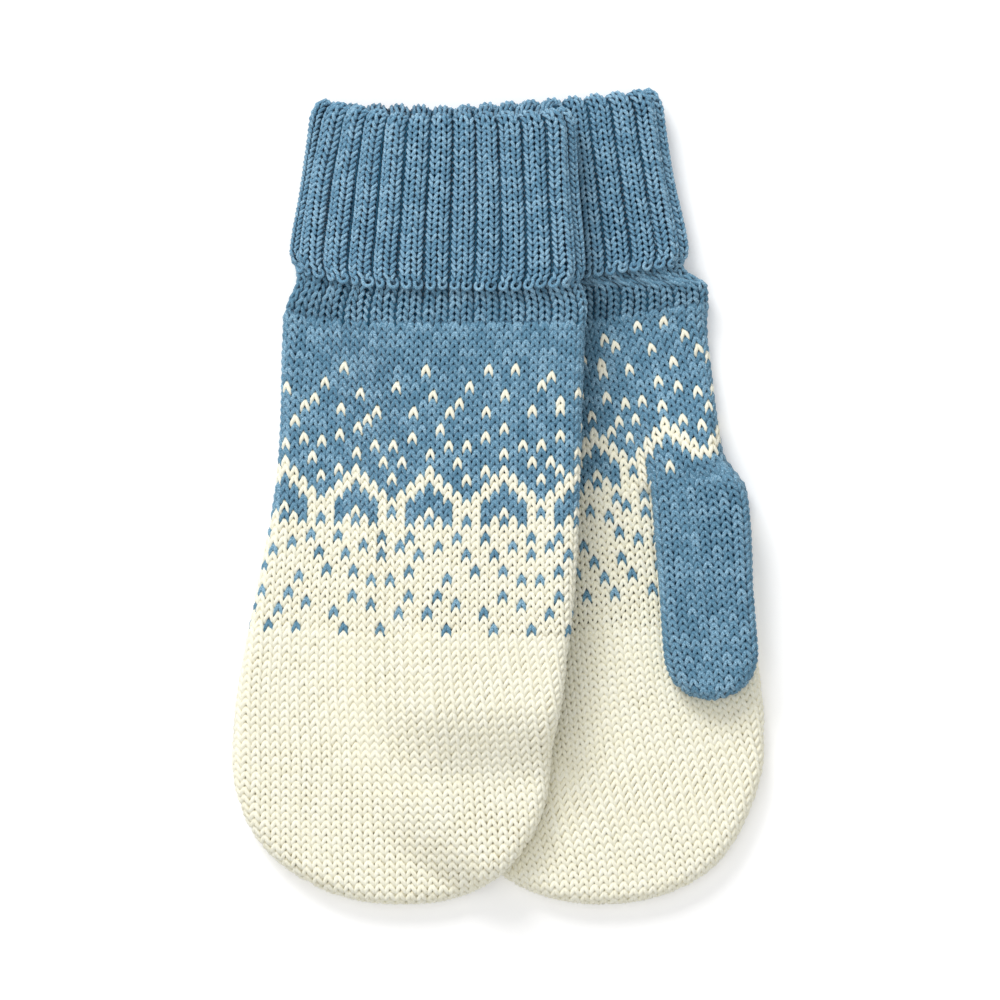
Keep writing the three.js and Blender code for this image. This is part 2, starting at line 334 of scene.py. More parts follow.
def make_face(spot, set_down, outward, wall, tip_length, **more):
    """One side of a flattened tube.

    spot gives a place's offset from the centre line, its distance to the tip, and the tube's half
    height and half width there. set_down puts a wrapped point in the frame.
    """

    def lay(place, along):
        q, to_tip, half, half_width = spot(place, along)
        edge, out_q, out_tip = edge_of(q, to_tip, half, half_width, tip_length, wall)
        angle = np.clip(edge / half, -HALF_PI, HALF_PI)
        inward = half * (1 - np.cos(angle)) - edge + (HALF_PI - 1) * half
        inward = np.where(angle < HALF_PI, inward, 0)
        return set_down(q - inward * out_q, to_tip + inward * out_tip, half, np.sin(angle))

    def inside(place, along):
        return edge_of(*spot(place, along), tip_length, wall)[0]

    def reach(along):
        half, half_width = spot(np.zeros_like(along), along)[2:]
        return half_width + (HALF_PI - 1) * half

    return SimpleNamespace(lay=lay, inside=inside, reach=reach, outward=outward, **more)


def row_rise(mitten, length, q):
    """How much nearer the cuff a row lies at an offset than on the centre line."""
    slope = through(mitten.rows, length, 1)
    bend = np.where(q < 0, through(mitten.rows, length, 2), through(mitten.rows, length, 3))
    return (slope + bend * q) * q


# The palm widens and rises to meet the top of the left thumb at its root.
FLARE = SimpleNamespace(width=6.2, top=15.0, bottom=1.0, inner=56.0, outer=76.0, fade=(-24, 0))
ROOT_RISE = SimpleNamespace(height=9.2, cuff_side=34.0, overlap=5.0, drop=6.0, left=43.0, full=54.0)


def palm_flare(x, y):
    fade = ramp(*FLARE.fade, y)
    return FLARE.width * fade * ramp(FLARE.top, FLARE.bottom, y) * ramp(FLARE.inner, FLARE.outer, x)


def thumb_root_rise(x, y):
    above = y - THUMB.root_y
    towards_cuff = 1 - ramp(0, ROOT_RISE.cuff_side, above)
    under_thumb = ramp(-ROOT_RISE.overlap - ROOT_RISE.drop, -ROOT_RISE.overlap, above)
    across = ramp(ROOT_RISE.left, ROOT_RISE.full, x)
    return ROOT_RISE.height * towards_cuff * under_thumb * across


def mitten_point(mitten, side):
    def set_down(q, to_tip, half, rise):
        length = to_tip - TIP_EXTRA
        x = centre_x(mitten, length) + q
        y = TIP_Y + length
        if mitten is LEFT:
            x = x + palm_flare(x, y)
        mid = left_mid(y) if mitten is LEFT else right_mid(x, y)
        z = mid + side * half * rise
        if mitten is LEFT and side > 0:
            z = z + thumb_root_rise(x, y) * np.clip(rise, 0, 1)
        return np.stack([x, y, z], -1)

    return set_down


def body_face(mitten, side, half, wall):
    """A face of the hand or of the wrist tube."""

    def spot(place, along):
        q = place * body_width(mitten, along)
        length = along + row_rise(mitten, along, q)
        half_width = body_width(mitten, length) - wall / 2 + SIDE_EXTRA
        q = place * (half_width + (HALF_PI - 1) * half)
        return q, length + TIP_EXTRA, half, half_width

    return make_face(spot, mitten_point(mitten, side), side, wall, TIP_LENGTH + TIP_EXTRA)


def hand_face(mitten, side):
    return body_face(mitten, side, HAND_HALF, HAND_WALL)


def tube_face(mitten, side):
    return body_face(mitten, side, TUBE_HALF, TUBE_WALL)


# The fold at the rim is a half ellipse. Its arc is the fabric in it for each radian. The cuff
# narrows by rounding at the rim, from start before it. CORNER is where the front rim meets the
# back one, as a length and a share across. HEM_CORNER rounds the hem's ends.
FOLD = SimpleNamespace(
    rise=(CUFF_HALF - TUBE_HALF) / 2,
    reach=3.0,
    arc=2.33,
    rounding=1.5,
    start=3.0,
)
CORNER = SimpleNamespace(length=20.0, width=0.8)
HEM_CORNER = SimpleNamespace(start=-1.0, length=4.0, width=2.2)


def turn_up_face(mitten, side):
    """The cuff from its hem, over the fold at the rim, and a little way down inside."""
    flat = mitten.rim + mitten.rims[side] - FOLD.reach - mitten.hem
    fold_length = math.pi * FOLD.arc

    def fold(along):
        angle = np.clip((along - flat) / FOLD.arc, 0, math.pi)
        down = np.maximum(along - flat - fold_length, 0)
        length = mitten.hem + np.minimum(along, flat) + FOLD.reach * np.sin(angle) - down
        return length, CUFF_HALF - FOLD.rise * (1 - np.cos(angle))

    def spot(place, along):
        length, half = fold(along)
        corner = ramp(CORNER.width, 0, 1 + place)
        rise = mitten.rims[-1] - mitten.rims[side]
        length = length + rise * corner * ramp(flat - CORNER.length, flat, along)
        pulled = mitten.corner_shift * ramp(flat - CORNER.length, flat + fold_length / 2, along)
        place = place + side * pulled * corner
        width = turn_up_width(mitten, length) - TURN_UP_WALL / 2 - (CUFF_HALF - half)
        width = width - FOLD.rounding * ramp(flat - FOLD.start, flat + fold_length / 2, along)
        at_hem = 1 - ramp(HEM_CORNER.start, HEM_CORNER.length, along)
        width = width - HEM_CORNER.width * at_hem
        q = place * (width + (HALF_PI - 1) * half)
        return q, length + row_rise(mitten, length, q) + TIP_EXTRA, half, width

    set_down = mitten_point(mitten, side)
    end = flat + fold_length + LIP_LENGTH
    return make_face(spot, set_down, side, TURN_UP_WALL, TIP_LENGTH, end=end)


# GATHER draws the thumb's left columns in towards its tip. ROOT_DIP flattens it at its root.
GATHER = SimpleNamespace(length=26.0, left=0.3)
ROOT_DIP = SimpleNamespace(depth=1.3, length=7.0)


def thumb_face(mitten, side):
    turn = mitten.thumb_turn
    middle = (THUMB_LOW + THUMB_TOP) / 2

    def spot(place, along):
        width = np.where(place < 0, through(THUMB.left, along), through(THUMB.right, along))
        width = width - THUMB_WALL / 2
        gather = ramp(THUMB.length - GATHER.length, THUMB.length, along) * GATHER.left
        place = np.where(place < 0, place * (1 - gather * (1 - place**2)), place)
        q = place * (width + (HALF_PI - 1) * THUMB_HALF)
        return q, THUMB.length - along, THUMB_HALF, width

    def set_down(q, to_tip, half, rise):
        reach = THUMB.length - to_tip
        x = mitten.thumb_x + q * math.cos(turn) + reach * math.sin(turn)
        y = THUMB.root_y + q * math.sin(turn) - reach * math.cos(turn)
        dip = ROOT_DIP.depth * (1 - ramp(0, ROOT_DIP.length, reach))
        return np.stack([x, y, middle + side * (half - dip) * rise], -1)

    return make_face(spot, set_down, -side, THUMB_WALL, THUMB.tip)


def surface(face, place, along):
    """Points on the middle of a face's wall, and the directions that point out of it."""
    nudge = 0.002
    step = 0.1
    across = face.lay(place + nudge, along) - face.lay(place - nudge, along)
    up = face.lay(place, along + step) - face.lay(place, along - step)
    normal = np.cross(across, up) * face.outward
    normal /= np.maximum(np.linalg.norm(normal, axis=-1, keepdims=True), TINY)
    return face.lay(place, along), normal


def waves(seed, place, along, size):
    """Smooth irregular waves over a face, about size high."""
    rng = np.random.default_rng(seed)
    total = np.zeros(np.broadcast(place, along).shape)
    for _ in range(6):
        turns = rng.uniform(1.5, 9.0)
        pace = rng.uniform(0.03, 0.16)
        phase = rng.uniform(0, 2 * math.pi, 2)
        total += np.sin(turns * place + phase[0]) * np.sin(pace * along + phase[1])
    return total * size / 2


# Stitches. Each one is a loop of yarn: a head, two legs in front, and two feet behind. YARN gives
# a loop's height in rows, its depth, its overlap with the next loop, and how much thicker the yarn
# is in front and from loop to loop. UNEVEN gives waves of the fabric, and how far loops wander.
YARN = SimpleNamespace(height=1.62, depth=0.42, overlap=0.14, swell=0.10, spread=0.04)
UNEVEN = SimpleNamespace(sway=0.22, sag=0.25, puff=0.25, wander=1.4)


def loop_path(steps, bulge):
    """One loop: across in stitch widths, up from -1 at the feet to 1 at the head, and out."""
    turn = np.linspace(-math.pi - YARN.overlap, math.pi + YARN.overlap, steps + 1)
    return turn / (2 * math.pi) + bulge * np.sin(2 * turn), np.cos(turn), -np.cos(2 * turn)


def cells(place, along, width, pitch):
    """Stitches as equal arrays: where each one is, its width and the row's pitch."""
    parts = np.broadcast_arrays(place, along, width, pitch)
    return SimpleNamespace(**dict(zip(("place", "along", "width", "pitch"), map(np.ravel, parts))))


def pick(stitches, keep):
    return SimpleNamespace(**{key: value[keep] for key, value in vars(stitches).items()})


def run_yarn(face, stitches, path, head, lift, seed, jitter):
    """The middle of the yarn of each stitch, and the way out of the fabric beside it."""
    rng = np.random.default_rng(seed)
    count = len(stitches.place)
    across, up, out = (part[None, :] for part in path)
    shift = rng.normal(0, jitter, (4, count, 1))
    width = stitches.width[:, None] * (1 + shift[0])
    height = stitches.pitch[:, None] * YARN.height / 2 * (1 + shift[1])
    reach = face.reach(stitches.along)[:, None]
    sway = waves(seed, stitches.place, stitches.along, UNEVEN.sway)[:, None]
    sag = waves(seed + 1, stitches.place, stitches.along, UNEVEN.sag)[:, None]
    sideways = across * width + sway + shift[2] * UNEVEN.wander
    place = stitches.place[:, None] + sideways / reach
    along = stitches.along[:, None] + head * height * up + sag + shift[3] * UNEVEN.wander
    points, normals = surface(face, place, along)
    puff = waves(seed + 2, place, along, UNEVEN.puff)
    offset = YARN.depth * out + lift(place, along) + puff
    return points + normals * offset[..., None], normals, out


def sweep(points, normals, radius, sides):
    """Rings of yarn around each path, as (path, step, side, xyz)."""
    tangent = np.gradient(points, axis=1)
    tangent /= np.linalg.norm(tangent, axis=-1, keepdims=True)
    beside = np.cross(tangent, normals)
    beside /= np.maximum(np.linalg.norm(beside, axis=-1, keepdims=True), TINY)
    above = np.cross(beside, tangent)
    angle = np.arange(sides) * 2 * math.pi / sides
    ring = (
        np.cos(angle)[:, None] * above[:, :, None, :]
        + np.sin(angle)[:, None] * beside[:, :, None, :]
    )
    return points[:, :, None, :] + ring * radius[..., None, None]


def tube_faces(count, steps, sides):
    """Corner indices of the quads and end caps of count tubes."""
    step, side = np.meshgrid(np.arange(steps), np.arange(sides), indexing="ij")
    near = step * sides + side
    near_next = step * sides + (side + 1) % sides
    quads = np.stack([near, near + sides, near_next + sides, near_next], -1).reshape(-1, 4)
    first = np.arange(sides)
    last = steps * sides + first[::-1]
    base = (np.arange(count) * (steps + 1) * sides)[:, None, None]
    return quads[None] + base, np.stack([first, last])[None] + base


# Each tube's tile of the baked texture is a square cell with an empty edge.
TILE_EDGE = 0.06
TILE_SIZE = 0.88


def tile_uv(count, steps, sides):
    """A tile of the unit square for each tube, for the quads' and then the caps' corners."""
    columns = math.ceil(math.sqrt(count))
    index = np.arange(count)
    corner = np.stack([index % columns, index // columns], -1) + TILE_EDGE
    step, side = np.meshgrid(np.arange(steps), np.arange(sides), indexing="ij")
    across = np.stack([step, step + 1, step + 1, step], -1).reshape(-1) / steps
    around = np.stack([side, side, side + 1, side + 1], -1).reshape(-1) / sides
    inner = np.stack([across, around], -1) * TILE_SIZE
    quads = (corner[:, None, :] + inner[None]) / columns
    caps_inner = np.zeros((2 * sides, 2))
    caps_inner[sides:, 0] = TILE_SIZE
    caps_inner[:, 1] = np.tile(np.arange(sides) / sides * TILE_SIZE, 2)
    return quads, (corner[:, None, :] + caps_inner[None]) / columns


def yarn_uv(count, steps, sides, arc, offset):
    """Length along the yarn and turn around it, for the same corners, for the yarn's texture."""
    step, side = np.meshgrid(np.arange(steps), np.arange(sides), indexing="ij")
    steps_of = np.stack([step, step + 1, step + 1, step], -1).reshape(-1)
    around = np.stack([side, side, side + 1, side + 1], -1).reshape(-1) / sides
    quads = np.stack(np.broadcast_arrays(arc[:, steps_of] + offset, around[None]), -1)
    cap_steps = np.repeat([0, steps], sides)
    cap_around = np.tile(np.arange(sides) / sides, 2)
    caps = np.stack(np.broadcast_arrays(arc[:, cap_steps] + offset, cap_around[None]), -1)
    return quads, caps


def fill_mesh(mesh, points, polygons):
    """Fills a mesh from points in millimetres and groups of polygons of equal size."""
    points = points.reshape(-1, 3) * MM
    mesh.vertices.add(len(points))
    mesh.vertices.foreach_set("co", points.astype(np.float32).ravel())
    corner_lists = [group.reshape(-1) for group in polygons]
    sizes = [np.full(group.size // group.shape[-1], group.shape[-1]) for group in polygons]
    totals = np.concatenate(sizes)
    corner_index = np.concatenate(corner_lists)
    mesh.loops.add(len(corner_index))
    mesh.loops.foreach_set("vertex_index", corner_index.astype(np.int32))
    mesh.polygons.add(len(totals))
    starts = np.concatenate([[0], np.cumsum(totals)[:-1]])
    mesh.polygons.foreach_set("loop_start", starts.astype(np.int32))
    mesh.polygons.foreach_set("loop_total", totals.astype(np.int32))
    mesh.polygons.foreach_set("use_smooth", np.full(len(totals), True))
    mesh.update(calc_edges=True)


def add_uv(mesh, name, parts):
    layer = mesh.uv_layers.new(name=name)
    corner_uvs = np.concatenate([part.reshape(-1, 2) for part in parts])
    layer.data.foreach_set("uv", corner_uvs.astype(np.float32).ravel())


def add_shade(mesh, name, values):
    """A value for each vertex, which the yarn's material reads."""
    layer = mesh.attributes.new(name, "FLOAT", "POINT")
    layer.data.foreach_set("value", values.astype(np.float32).ravel())


def new_piece(name, mesh, material, body, node, slot):
    piece = bpy.data.objects.new(name, mesh)
    bpy.context.scene.collection.objects.link(piece)
    mesh.materials.append(material)
    if body:
        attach(piece, body)
    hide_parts(node)
    return piece


# Millimetres of yarn in a unit of its texture, and how far along it a loop may start.
YARN_UNIT = 10
YARN_STARTS = 50


def yarn_mesh(name, strands, radius, sides, seed):
    """One mesh of closed tubes of yarn along the given (points, normals, out) paths."""
    points, normals, out = strands
    count, rings = points.shape[:2]
    steps = rings - 1
    rng = np.random.default_rng(seed)
    swell = 1 + YARN.swell * out
    thickness = radius * swell * (1 + rng.normal(0, YARN.spread, (count, 1)))
    tubes = sweep(points, normals, thickness, sides)
    quads, caps = tube_faces(count, steps, sides)
    mesh = bpy.data.meshes.new(name)
    fill_mesh(mesh, tubes, [quads, caps])
    gaps = np.diff(points, axis=1, prepend=points[:, :1])
    arc = np.cumsum(np.linalg.norm(gaps, axis=-1), axis=1) / YARN_UNIT
    add_uv(mesh, "OFBake", tile_uv(count, steps, sides))
    offset = rng.uniform(0, YARN_STARTS, (count, 1))
    add_uv(mesh, "Yarn", yarn_uv(count, steps, sides, arc, offset))
    shade = np.broadcast_to(rng.uniform(0, 1, (count, 1, 1)), (count, rings, sides))
    # How deep each point lies in the fabric, which the yarn's material turns into painted shade.
    depth = np.broadcast_to(np.broadcast_to(out, (count, rings))[..., None], (count, rings, sides))
    add_shade(mesh, "shade", shade)
    add_shade(mesh, "depth", depth * 0.5 + 0.5)
    return mesh


# A lining is a mesh of LINING_STEPS by LINING_STEPS points. LINING_START is where the fingers' one
# starts, and LINING_LIFT is how far a lining lies from the middle of the stitches.
LINING_STEPS = 48
LINING_START = 1.0
LINING_LIFT = SimpleNamespace(hand=-0.75, wrist=-0.7, cuff=-1.1, thumb=-0.5)


def shade_lining_mesh(name, face, start, end, lift, edge=0.985):
    """A smooth sheet just inside a face's stitches, seen only between them, which carries painted
    shade.
    """
    across = np.linspace(-edge, edge, LINING_STEPS)
    place, along = np.meshgrid(across, np.linspace(start, end, LINING_STEPS))
    points, normals = surface(face, place, along)
    points = points + normals * lift
    index = np.arange(LINING_STEPS**2).reshape(LINING_STEPS, LINING_STEPS)
    quads = np.stack([index[:-1, :-1], index[:-1, 1:], index[1:, 1:], index[1:, :-1]], -1)
    mesh = bpy.data.meshes.new(name)
    fill_mesh(mesh, points, [quads.reshape(-1, 4)])
    flat = np.stack([place / 2 + 0.5, (along - start) / (end - start)], -1).reshape(-1, 2)
    add_uv(mesh, "OFBake", [flat[quads.reshape(-1)]])
    return mesh


# Materials.
def linear(colour):
    """An sRGB colour, 0 to 255, as linear RGBA."""
    channels = [c / 255 for c in colour]
    return [c / 12.92 if c <= 0.04045 else ((c + 0.055) / 1.055) ** 2.4 for c in channels] + [1.0]


def node_maker(material):
    """A function that adds a node, with links by socket and values by socket or setting."""
    material.use_nodes = True
    tree = material.node_tree
    tree.nodes.clear()

    def make(kind, links=None, **values):
        node = tree.nodes.new(kind)
        for key, value in values.items():
            if hasattr(node, key):
                setattr(node, key, value)
            else:
                node.inputs[key.replace("_", " ")].default_value = value
        for socket, source in (links or {}).items():
            tree.links.new(source, node.inputs[socket])
        return node

    return make


def colour_ramp(node, stops):
    ramp_points = node.color_ramp.elements
    while len(ramp_points) < len(stops):
        ramp_points.new(0.5)
    for point, (position, colour) in zip(ramp_points, stops):
        point.position = position
        point.color = linear(colour)


def finish_material(make, colour, bump, roughness, sheen):
    shader = make(
        "ShaderNodeBsdfPrincipled",
        {"Base Color": colour, "Normal": bump},
        Roughness=roughness,
        Specular_IOR_Level=0.15,
        Sheen_Weight=sheen,
        Sheen_Roughness=0.5,
    )
    make("ShaderNodeOutputMaterial", {"Surface": shader.outputs[0]})


# How much loops differ in tone, and the twist and stretch of the fibres.
OWN_TONE = 0.16
FIBRES = SimpleNamespace(twist=(0, 0, 0.9), stretch=(12, 4, 1))


def yarn_material(name, painted_shade, dark, middle, light):
    """Matt wool with streaks of fibre twisted along the yarn, and painted shade where it lies deep
    inside the fabric.
    """
    material = bpy.data.materials.new(name)
    make = node_maker(material)
    uv = make("ShaderNodeUVMap", uv_map="Yarn")
    shade = make("ShaderNodeAttribute", attribute_name="shade")
    depth = make("ShaderNodeAttribute", attribute_name="depth")
    twist = make(
        "ShaderNodeMapping",
        {"Vector": uv.outputs[0]},
        Rotation=FIBRES.twist,
        Scale=FIBRES.stretch,
    )
    fibres = make("ShaderNodeTexNoise", {"Vector": twist.outputs[0]}, Scale=2.2, Detail=4.0)
    own = make("ShaderNodeMath", {0: shade.outputs["Fac"]}, operation="MULTIPLY_ADD")
    own.inputs[1].default_value = OWN_TONE
    own.inputs[2].default_value = -OWN_TONE / 2
    total = make("ShaderNodeMath", {0: fibres.outputs[0], 1: own.outputs[0]}, operation="ADD")
    tone = make("ShaderNodeValToRGB", {"Fac": total.outputs[0]})
    colour_ramp(tone, [(0.28, dark), (0.5, middle), (0.72, light)])
    # The deeper the yarn lies in the fabric, the more its colour turns to the darker colour of
    # painted shade.
    inner = make("ShaderNodeMapRange", {"Value": depth.outputs["Fac"]}, From_Max=0.7)
    shaded = make("ShaderNodeMixRGB", {"Fac": inner.outputs[0], "Color2": tone.outputs[0]})
    shaded.inputs["Color1"].default_value = linear(painted_shade)
    plies = make("ShaderNodeTexWave", {"Vector": twist.outputs[0]}, Scale=1.1, Distortion=1.5)
    heights = {0: plies.outputs["Fac"], 1: fibres.outputs[0]}
    relief = make("ShaderNodeMath", heights, operation="ADD")
    bump = make("ShaderNodeBump", {"Height": relief.outputs[0]}, Strength=0.35, Distance=0.00025)
    finish_material(make, shaded.outputs[0], bump.outputs[0], 0.92, 0.2)
    return material


# A sheet's colour of painted shade, mottled by noise, with a little bump.
def shade_lining_material(name, dark, light):
    material = bpy.data.materials.new(name)
    make = node_maker(material)
    place = make("ShaderNodeTexCoord")
    noise = make("ShaderNodeTexNoise", {"Vector": place.outputs["Object"]}, Scale=500.0, Detail=4.0)
    tone = make("ShaderNodeValToRGB", {"Fac": noise.outputs[0]})
    colour_ramp(tone, [(0.3, dark), (0.7, light)])
    bump = make("ShaderNodeBump", {"Height": noise.outputs[0]}, Strength=0.5, Distance=0.0005)
    finish_material(make, tone.outputs[0], bump.outputs[0], 0.95, 0.0)
    return material


# Each yarn's painted shade for where it lies deep inside the fabric, then its dark, middle and
# light tones.
BLUE = yarn_material("blue_yarn", (8, 54, 80), (66, 112, 138), (106, 150, 176), (168, 205, 226))
RIB = yarn_material("blue_rib", (8, 54, 82), (70, 117, 145), (112, 158, 186), (174, 210, 230))
# The purl columns' yarn is the blue yarn darkened all over, as painted shade in the ribs' grooves.
GROOVE_SHADE = yarn_material("groove", (2, 34, 52), (8, 56, 80), (24, 76, 102), (50, 100, 124))
CREAM = yarn_material(
    "cream_yarn",
    (226, 216, 184),
    (246, 242, 218),
    (251, 248, 228),
    (254, 253, 240),
)
# The linings' colours are painted shade seen between the stitches: dark blue behind blue knitting,
# tan behind plain cream, and grey brown behind the two-colour rows, where the floats lie in shade.
BLUE_SHADE_LINING = shade_lining_material("blue_lining", (6, 58, 88), (20, 88, 122))
PLAIN_SHADE_LINING = shade_lining_material("plain_shade_lining", (214, 202, 170), (232, 222, 194))
FLOAT_SHADE_LINING = shade_lining_material("float_shade_lining", (92, 84, 76), (132, 122, 106))

# The two-colour chart: rows from the cuff towards the tip, four motifs of eight columns. The
# first column stands over an arch's peak. "o" is cream and "." is blue.
CHART_START = -12
CHART = """
......o. .o...... ......o. .......o
........ .....o.. ........ ........
....o... ....o... ....o... ....o...
o....... o....... o....... o.......
...o.... ......o. ...o.... ........
..o...o. ...o..o. ..o...o. ..o...o.
........ ........ ........ .o......
.o...... o....... .o...... o.......
......o. ......o. ......o. ......o.
..o.o... ..o.o... ..o.o... ..o.o...
o....... o....... o....... o.......
...o.... ...o.o.. ...o.... ...o.o..
o.....o. o.....o. o.....o. o.......
oo..o..o oo..o..o oo..o..o oo..o..o
.oo...oo .oo...oo .oo...oo .oo...oo
..oo.oo. ..oo.oo. ..oo.oo. ..oo.oo.
...ooo.. ...ooo.. ...ooo.. ...ooo..
o..ooo.. o..o.o.. o..ooo.. o..o.o..
.o.o.o.o .o.ooo.o .o.o.o.o .o.ooo.o
oooooooo oooooooo oooooooo oooooooo
ooo.oo.o ooo.oo.o ooo.oo.o ooo.oo.o
o.oooooo o.ooo.oo o.oooooo o.ooo.oo
oooo.oo. ooo.ooo. oooo.oo. ooo.ooo.
oooooooo oooooooo oooooooo oooooooo
ooooo.oo .ooooo.o ooooo.oo .ooooo.o
oo.ooooo oo.o.ooo oo.ooooo oo.o.ooo
oooooooo oooooooo oooooooo oooooooo
o.oooooo .ooooo.o o.oooooo .ooooo.o
ooo.oooo oo.ooooo ooo.oooo oo.ooooo
.ooooo.o ooooo.oo .ooooo.o ooooo.oo
oooooooo oooooooo oooooooo oooooooo
oo.oooo. ooo.ooo. oo.oooo. ooo.oooo
"""
CHART_ROWS = [row.replace(" ", "") for row in CHART.split("\n") if row]
# The blue patch beside the left thumb's root, in rows below the peaks and in columns.
GUSSET = SimpleNamespace(first_row=5, last_row=11, column=1, last_column=18)
# Rows from the peaks down to where the hand turns mostly cream.
BLUE_ROWS = 7
HAND_ROWS = 37
FINGER_ROWS = 39
FINGER_PITCH = 2.56
COLUMNS_AROUND = 67
HALF_COLUMNS = 30
# Upper stitches reach this share of a column over the edge, and under ones stop short of it.
EDGE_SHARE = 0.25


def is_cream(mitten, row, column):
    """Whether the chart has a cream stitch there, with rows counted up from the plain fingers."""
    below_peak = mitten.peak_row - row
    chart_row = below_peak - CHART_START
    if chart_row < 0:
        return False
    first_column = GUSSET.column - 2 * (below_peak > GUSSET.first_row)
    in_gusset = mitten is LEFT and first_column <= column <= GUSSET.last_column
    if in_gusset and GUSSET.first_row <= below_peak <= GUSSET.last_row:
        return False
    if chart_row >= len(CHART_ROWS):
        return True
    chart_column = mitten.chart_middle + mitten.chart_turn * column
    return CHART_ROWS[chart_row][chart_column % len(CHART_ROWS[0])] == "o"


def no_lift(place, along):
    return 0.0


FACES = {1: "upper", -1: "under"}
# Steps along and sides around a loop of yarn on each face, and the yarn's radius.
DETAIL = {1: (12, 6), -1: (8, 4)}
FINGER_RADIUS = 0.77
HAND_RADIUS = {"blue_yarn": 0.66, "cream_yarn": 0.67}
BULGE = 0.285
JITTER = 0.03
SEEDS = {"hand": (100, 200), "wrist": (300, 400), "cuff": (500, 600), "thumb": (700, 800)}


def seed_of(mitten, part, side):
    left, right = SEEDS[part]
    return (left if mitten is LEFT else right) + side * 10


def knit_piece(name, face, stitches, head, lift, detail, look, owner, seed, radius, **more):
    """Knits stitches into one piece. look is (material, unused slot) and owner is (body, node).

    head is 1 where the loops' heads point along the face, and -1 where they point back. more may
    set the loops' jitter and bulge.
    """
    steps, sides = detail
    jitter = more.get("jitter", JITTER)
    path = loop_path(steps, more.get("bulge", BULGE))
    strands = run_yarn(face, stitches, path, head, lift, seed, jitter)
    mesh = yarn_mesh(name, strands, radius, sides, seed + 7)
    return new_piece(name, mesh, look[0], owner[0], owner[1], look[1])


def column_places(mitten, side, column, along, reach):
    """Places of hand columns. A column that runs over an edge carries on across the other face."""
    step = through(mitten.columns, along, 2) / reach
    shift = (through(mitten.columns, along) - centre_x(mitten, along)) / reach
    if side > 0:
        return shift + column * step, step
    right = (1 - shift) / step
    left = (-1 - shift) / step
    under = COLUMNS_AROUND - (right - left)
    return 1 - 2 * (column - right) / under, 2 / under


def hand_stitches(mitten, side, start, pitch, rows):
    """Stitches of a hand face on rows up from start, with their row and column numbers."""
    face = hand_face(mitten, side)
    middle = 0 if side > 0 else round(COLUMNS_AROUND / 2)
    columns = middle + np.arange(-HALF_COLUMNS, HALF_COLUMNS + 1)
    row, column = np.meshgrid(np.arange(rows), columns, indexing="ij")
    along = start + (row + 0.5) * pitch
    reach = face.reach(along)
    place, step = column_places(mitten, side, column, along, reach)
    stitches = cells(place, along, step * reach, pitch)
    stitches.row = row.ravel()
    stitches.column = column.ravel()
    share = face.inside(stitches.place, stitches.along) / stitches.width
    return face, pick(stitches, share > -EDGE_SHARE if side > 0 else share >= EDGE_SHARE)


def make_hand(mitten):
    body = f"{mitten.side}_mitten"
    hand_start = PLAIN_LENGTH + mitten.row_shift
    hand_pitch = (WRIST_START - PLAIN_LENGTH) / HAND_ROWS
    for side, label in FACES.items():
        seed = seed_of(mitten, "hand", side)
        finger_start = hand_start - FINGER_ROWS * FINGER_PITCH
        face, fingers = hand_stitches(mitten, side, finger_start, FINGER_PITCH, FINGER_ROWS)
        owner = (body, f"{mitten.side}_finger_bag")
        look = (CREAM, "cream_yarn")
        name = f"{mitten.side}_fingers_{label}"
        detail = DETAIL[side]
        knit_piece(name, face, fingers, -1, no_lift, detail, look, owner, seed, FINGER_RADIUS)
        # A tan sheet of painted shade behind the plain cream fingers.
        lining = shade_lining_mesh(f"{name}_lining", face, LINING_START, PLAIN_LENGTH, LINING_LIFT.hand)
        new_piece(f"{name}_lining", lining, PLAIN_SHADE_LINING, *owner, "cream_yarn")

        face, hand = hand_stitches(mitten, side, hand_start, hand_pitch, HAND_ROWS)
        cream = np.array([is_cream(mitten, r, c) for r, c in zip(hand.row, hand.column)])
        owner = (body, f"{mitten.side}_stranded_hand")
        for look, keep in (((BLUE, "blue_yarn"), ~cream), ((CREAM, "cream_yarn"), cream)):
            colour = look[1].split("_")[0]
            name = f"{mitten.side}_hand_{colour}_{label}"
            knitted = pick(hand, keep)
            radius = HAND_RADIUS[look[1]]
            knit_piece(name, face, knitted, -1, no_lift, detail, look, owner, seed + 3, radius)
        split = hand_start + (mitten.peak_row - BLUE_ROWS) * hand_pitch
        # Sheets of painted shade behind the hand: grey brown behind the two-colour rows, dark blue
        # behind the blue ones.
        for part, low, high, material in (
            ("cream", PLAIN_LENGTH, split, FLOAT_SHADE_LINING),
            ("blue", split, WRIST_START, BLUE_SHADE_LINING),
        ):
            name = f"{mitten.side}_hand_{part}_lining_{label}"
            lining = shade_lining_mesh(name, face, low, high, LINING_LIFT.hand)
            new_piece(name, lining, material, *owner, f"{part}_yarn")


# The ribs: two knit columns stand up beside a sunken purl column. offset is how far each knit
# column lies from a rib's middle, and share is its width, both as shares of a rib.
RIBS = 12
CUFF_RIBS = SimpleNamespace(pitch=1.95, offset=0.228, share=0.45, radius=0.57)
WRIST_RIBS = SimpleNamespace(pitch=2.2, offset=0.24, share=0.49, radius=0.64)
RIB_BULGE = 0.25
PURL_SHARE = 0.2
PURL_RADIUS = 0.5
RIB_RISE = 1.0
PURL_DEPTH = 0.35
RIB_JITTER = 0.04
WRIST_OVERLAP = 1.6
WRIST_FADE = 11.0
WRIST_DETAIL = (10, 5)
# Where the cuff's ribs and its lining start, and how far across a face the linings reach.
CUFF_START = 1.2
CUFF_LINING_START = 0.6
RIB_EDGE = 0.98


